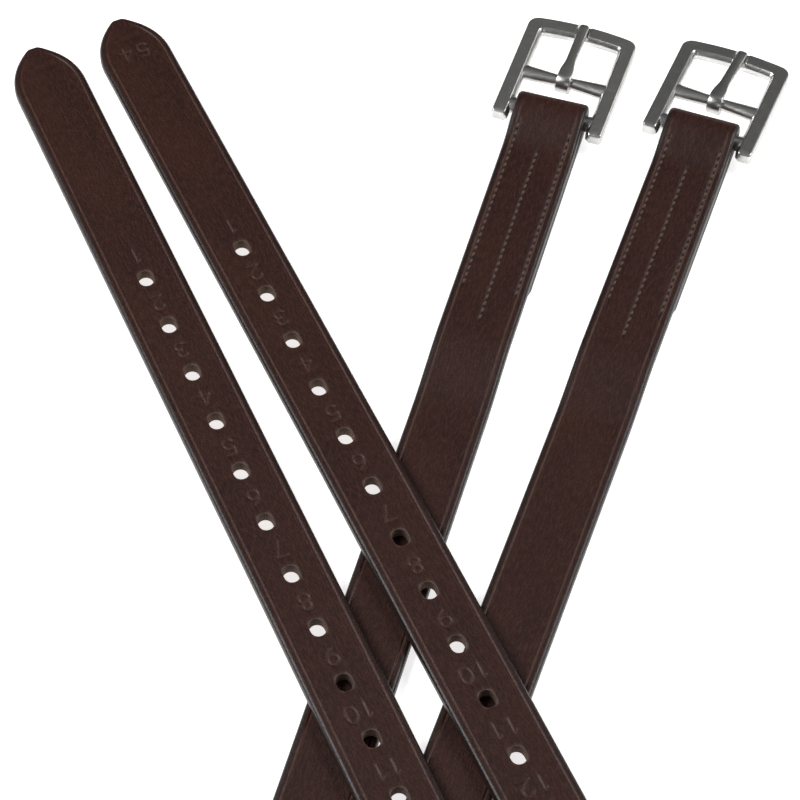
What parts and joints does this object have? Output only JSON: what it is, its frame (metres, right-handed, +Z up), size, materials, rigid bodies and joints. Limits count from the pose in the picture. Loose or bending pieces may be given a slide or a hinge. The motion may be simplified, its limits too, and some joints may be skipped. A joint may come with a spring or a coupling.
{
  "type": "stirrup leathers",
  "caption": "Pair of dark brown leather stirrup straps with numbered holes and sewn-in steel buckles, laid out crossed and looped.",
  "frame": {"origin": "on the table, under the middle of the pair's box", "axes": "+Z up from the table, +Y from the loops towards the tips and buckles, +X from the tips towards the buckles"},
  "size_m": [0.2837, 0.625, 0.0271],
  "materials": {
    "leather": "waxed",
    "thread": "waxed twisted thread",
    "steel": "polished"
  },
  "bodies": {
    "straps": {"near_strap": "leather", "near_left_top_thread": "thread", "near_left_under_thread": "thread", "near_middle_top_thread": "thread", "near_middle_under_thread": "thread", "near_right_top_thread": "thread", "near_right_under_thread": "thread", "off_strap": "leather", "off_left_top_thread": "thread", "off_left_under_thread": "thread", "off_middle_top_thread": "thread", "off_middle_under_thread": "thread", "off_right_top_thread": "thread", "off_right_under_thread": "thread"},
    "near_buckle": {"near_buckle_frame": "steel"},
    "near_tongue": {"near_buckle_tongue": "steel"},
    "off_buckle": {"off_buckle_frame": "steel"},
    "off_tongue": {"off_buckle_tongue": "steel"}
  },
  "joints": [
    {"name": "near_buckle_swing", "type": "hinge", "parent": "straps", "child": "near_buckle", "pos_m": [0.05246, 0.26425, 0.0062], "axis": [0.9461, -0.3239, 0], "range_deg": [-90, 100]},
    {"name": "near_tongue_lift", "type": "hinge", "parent": "near_buckle", "child": "near_tongue", "pos_m": [0.05774, 0.27967, 0.0062], "axis": [0.9461, -0.3239, 0], "range_deg": [0, 100]},
    {"name": "off_buckle_swing", "type": "hinge", "parent": "straps", "child": "off_buckle", "pos_m": [0.10647, 0.25594, 0.0062], "axis": [0.9259, -0.3778, 0], "range_deg": [-85, 105]},
    {"name": "off_tongue_lift", "type": "hinge", "parent": "off_buckle", "child": "off_tongue", "pos_m": [0.11261, 0.27098, 0.00484], "axis": [0.9259, -0.3778, 0], "range_deg": [0, 100]}
  ]
}
